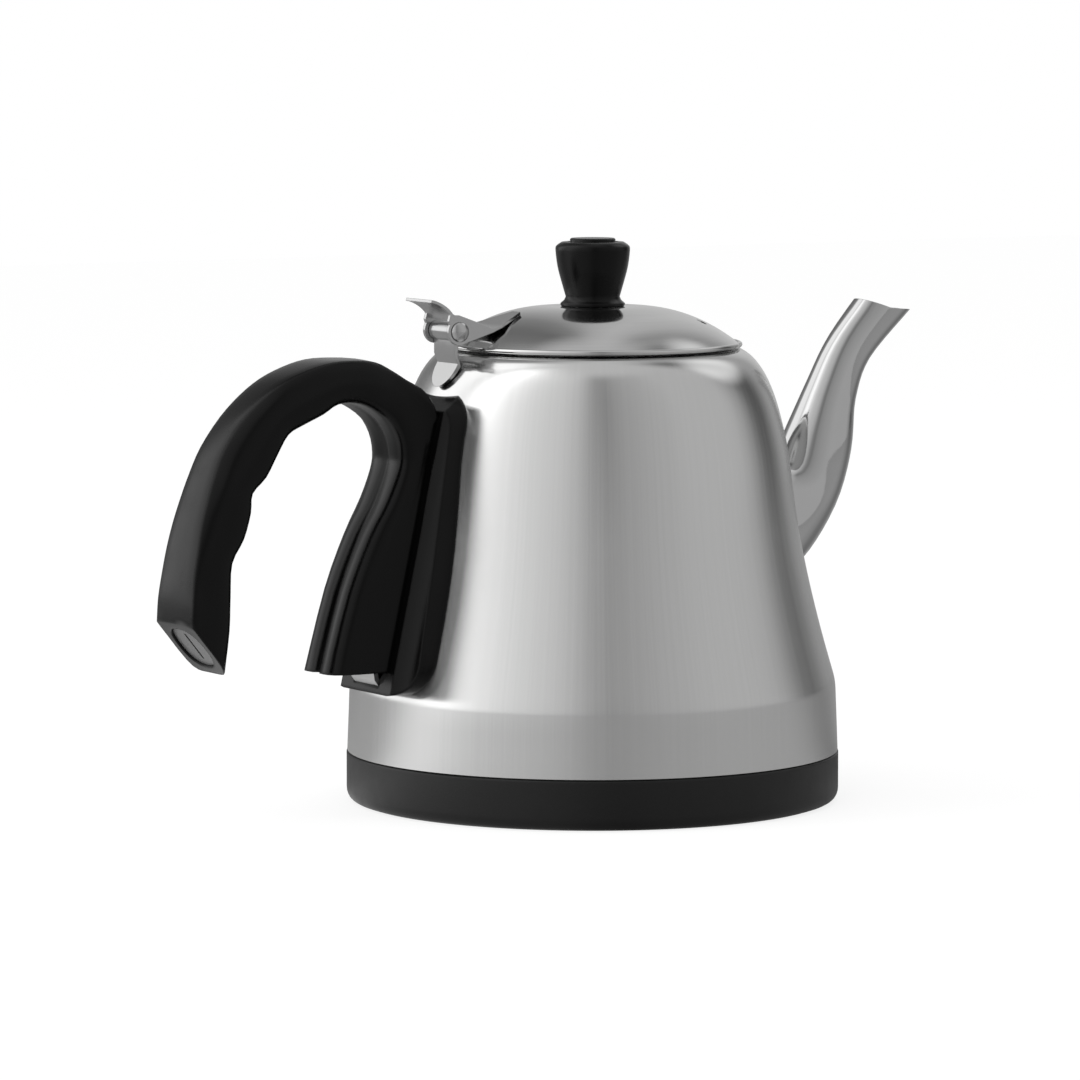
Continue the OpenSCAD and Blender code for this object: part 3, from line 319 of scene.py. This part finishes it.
class Finish:
    """A material with one Principled shader, and the helpers that feed it."""

    def __init__(self, name, color, metallic, roughness, **sockets):
        self.material = bpy.data.materials.new(name)
        self.material.use_nodes = True
        self.tree = self.material.node_tree
        self.shader = self.tree.nodes["Principled BSDF"]
        self.color = color
        self.shader.inputs["Base Color"].default_value = (*color, 1)
        self.shader.inputs["Metallic"].default_value = metallic
        self.shader.inputs["Roughness"].default_value = roughness
        for label, value in sockets.items():
            self.shader.inputs[label.replace("_", " ")].default_value = value
        self.position = node(self.tree, "ShaderNodeTexCoord").outputs["Object"]

    def effect(self, shared, **values):
        made = node(self.tree, "ShaderNodeGroup", node_tree=shared)
        self.tree.links.new(self.position, made.inputs["Position"])
        for label, value in values.items():
            made.inputs[label].default_value = value
        return made.outputs

    def between(self, source, low, high, low_in=0.0, high_in=1.0):
        made = node(self.tree, "ShaderNodeMapRange")
        self.tree.links.new(source, made.inputs["Value"])
        for label, value in (("From Min", low_in), ("From Max", high_in), ("To Min", low), ("To Max", high)):
            made.inputs[label].default_value = value
        return made.outputs[0]

    def total(self, a, b):
        return math_node(self.tree, "ADD", a, b, clamp=True)

    def times(self, a, b):
        return math_node(self.tree, "MULTIPLY", a, b)

    def roughness(self, source):
        self.tree.links.new(source, self.shader.inputs["Roughness"])

    def tint(self, source, low, high):
        """Base colour scaled from low to high by a value that runs 0 to 1."""
        mix = node(self.tree, "ShaderNodeMix", data_type="RGBA")
        self.tree.links.new(source, mix.inputs["Factor"])
        mix.inputs["A"].default_value = (*(c * low for c in self.color), 1)
        mix.inputs["B"].default_value = (*(min(1, c * high) for c in self.color), 1)
        self.tree.links.new(mix.outputs["Result"], self.shader.inputs["Base Color"])

    def bump(self, source, depth, soft=0.0):
        """Bump from a height that runs 0 to 1. soft is the radius at which sharp edges catch the light."""
        made = node(self.tree, "ShaderNodeBump")
        made.inputs["Distance"].default_value = depth
        self.tree.links.new(source, made.inputs["Height"])
        if soft:
            rounded = node(self.tree, "ShaderNodeBevel", samples=6)
            rounded.inputs["Radius"].default_value = soft
            self.tree.links.new(rounded.outputs[0], made.inputs["Normal"])
        self.tree.links.new(made.outputs[0], self.shader.inputs["Normal"])


def brushed_steel(name, level, rough, brushing, lines, streaks=0.03, tone=0.03, polish=None,
                  depth=0.0000005, smear=0.0):
    """Brushed sheet. polish = (low z, high z, roughness) is where the sheet turns shinier going up.
    smear spreads reflections sideways, across upright brushing."""
    made = Finish(name, (level, level, level * 0.995), 1.0, rough, Anisotropic=smear)
    if smear:
        around = node(made.tree, "ShaderNodeTangent", direction_type="RADIAL", axis="Z")
        made.tree.links.new(around.outputs[0], made.shader.inputs["Tangent"])
    brush = made.effect(brushing, Lines=lines)
    marks = made.effect(HANDLING_MARKS, Size=34.0)
    base = made.between(brush["Streak"], rough - streaks, rough + streaks, 0.3, 0.7)
    if polish:
        split = node(made.tree, "ShaderNodeSeparateXYZ")
        made.tree.links.new(made.position, split.inputs[0])
        drop = made.between(split.outputs[2], 0.0, polish[2] - rough, polish[0], polish[1])
        base = made.total(base, drop)
    made.roughness(made.total(base, made.times(marks["Smudge"], 0.02)))
    made.tint(made.between(brush["Streak"], 0.0, 1.0, 0.3, 0.7), 1 - tone, 1 + tone)
    made.bump(brush["Height"], depth)
    return made.material


def polished_steel(name, level=0.78, rough=0.07, duller_behind=0.0):
    made = Finish(name, (level, level, level), 1.0, rough)
    marks = made.effect(HANDLING_MARKS, Size=60.0)
    grain = made.effect(MOULDED_GRAIN, Size=900.0)
    base = made.between(marks["Cloud"], rough - 0.02, rough + 0.03)
    if duller_behind:
        split = node(made.tree, "ShaderNodeSeparateXYZ")
        made.tree.links.new(made.position, split.inputs[0])
        base = made.total(base, made.between(split.outputs[0], duller_behind, 0.0, -0.02, 0.02))
    made.roughness(made.total(base, made.times(marks["Smudge"], 0.07)))
    made.tint(marks["Cloud"], 0.96, 1.03)
    made.bump(grain["Height"], 0.0000015, soft=0.0003)
    return made.material


def moulded(name, color, rough, grain=1400.0, depth=0.00001, spread=0.05, metallic=0.0, soft=0.0, **sockets):
    made = Finish(name, color, metallic, rough, **sockets)
    texture = made.effect(MOULDED_GRAIN, Size=grain)
    marks = made.effect(HANDLING_MARKS, Size=48.0)
    base = made.between(marks["Cloud"], rough - spread, rough + spread, 0.3, 0.7)
    made.roughness(made.total(base, made.times(marks["Smudge"], spread)))
    made.tint(texture["Tone"], 0.85, 1.15)
    made.bump(texture["Height"], depth, soft)
    return made.material


FINISHES = {
    "body_steel": brushed_steel("body_steel", 0.66, 0.225, UPRIGHT_BRUSHING, 2200.0,
                                polish=(0.085, 0.125, 0.14), streaks=0.024, smear=0.78),
    "lid_steel": brushed_steel("lid_steel", 0.6, 0.11, TURNED_BRUSHING, 1500.0),
    "inner_steel": brushed_steel("inner_steel", 0.58, 0.34, TURNED_BRUSHING, 1300.0),
    "polished_steel": polished_steel("polished_steel", 0.52, 0.06, duller_behind=0.16),
    "screw_steel": polished_steel("screw_steel", 0.6, 0.2),
    "skirt_plastic": moulded("skirt_plastic", (0.0025, 0.0025, 0.0025), 0.42, 2200.0, 0.00003,
                             soft=0.0008, Specular_IOR_Level=0.4),
    "handle_plastic": moulded("handle_plastic", (0.0015, 0.0015, 0.0015), 0.22, 1800.0, 0.00001,
                              soft=0.0012, Specular_IOR_Level=0.19),
    "plug_plastic": moulded("plug_plastic", (0.2, 0.2, 0.2), 0.35, 1500.0, 0.00002),
    "socket_plastic": moulded("socket_plastic", (0.02, 0.02, 0.02), 0.5, 1200.0, 0.00003),
    "seal_rubber": moulded("seal_rubber", (0.03, 0.03, 0.03), 0.7, 900.0, 0.00002),
    "plate_aluminium": brushed_steel("plate_aluminium", 0.75, 0.35, TURNED_BRUSHING, 700.0, depth=0.00001),
    "element_sheath": moulded("element_sheath", (0.35, 0.35, 0.36), 0.45, 900.0, 0.00002, metallic=1.0),
    "contact_brass": moulded("contact_brass", (0.72, 0.55, 0.26), 0.25, 900.0, 0.000005, metallic=1.0),
    "cutout_case": moulded("cutout_case", (0.6, 0.5, 0.36), 0.5),
    "fuse_sleeve": moulded("fuse_sleeve", (0.6, 0.54, 0.35), 0.4, 700.0, 0.00003),
    "live_insulation": moulded("live_insulation", (0.16, 0.07, 0.025), 0.35),
    "neutral_insulation": moulded("neutral_insulation", (0.03, 0.08, 0.3), 0.35),
    "earth_insulation": moulded("earth_insulation", (0.2, 0.32, 0.03), 0.35),
}

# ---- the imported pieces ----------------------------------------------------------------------


def dress(part, slot_name, crease=28):
    """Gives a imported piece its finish, and shades flat faces flat and the small faces round edges softly."""
    part.data.materials.clear()
    part.data.materials.append(FINISHES[slot_name])
    if part.data.has_custom_normals:
        with bpy.context.temp_override(object=part, active_object=part, selected_objects=[part]):
            bpy.ops.mesh.customdata_custom_splitnormals_clear()
    part.data.shade_smooth()
    weld = part.modifiers.new("weld", "WELD")
    weld.merge_threshold = 0.000002
    split = part.modifiers.new("creases", "EDGE_SPLIT")
    split.split_angle = math.radians(crease)
    if crease > 40:
        weighted = part.modifiers.new("weighted", "WEIGHTED_NORMAL")
        weighted.mode = "FACE_AREA"
        weighted.weight = 70


CREASES = {"handle_grip": 58, "lid_knob": 44}
slots = {part["node"]: part["material_slot"] for part in frame["record"]["subparts"]}
for name, part in nodes.items():
    dress(part, slots[name], CREASES.get(name, 28))
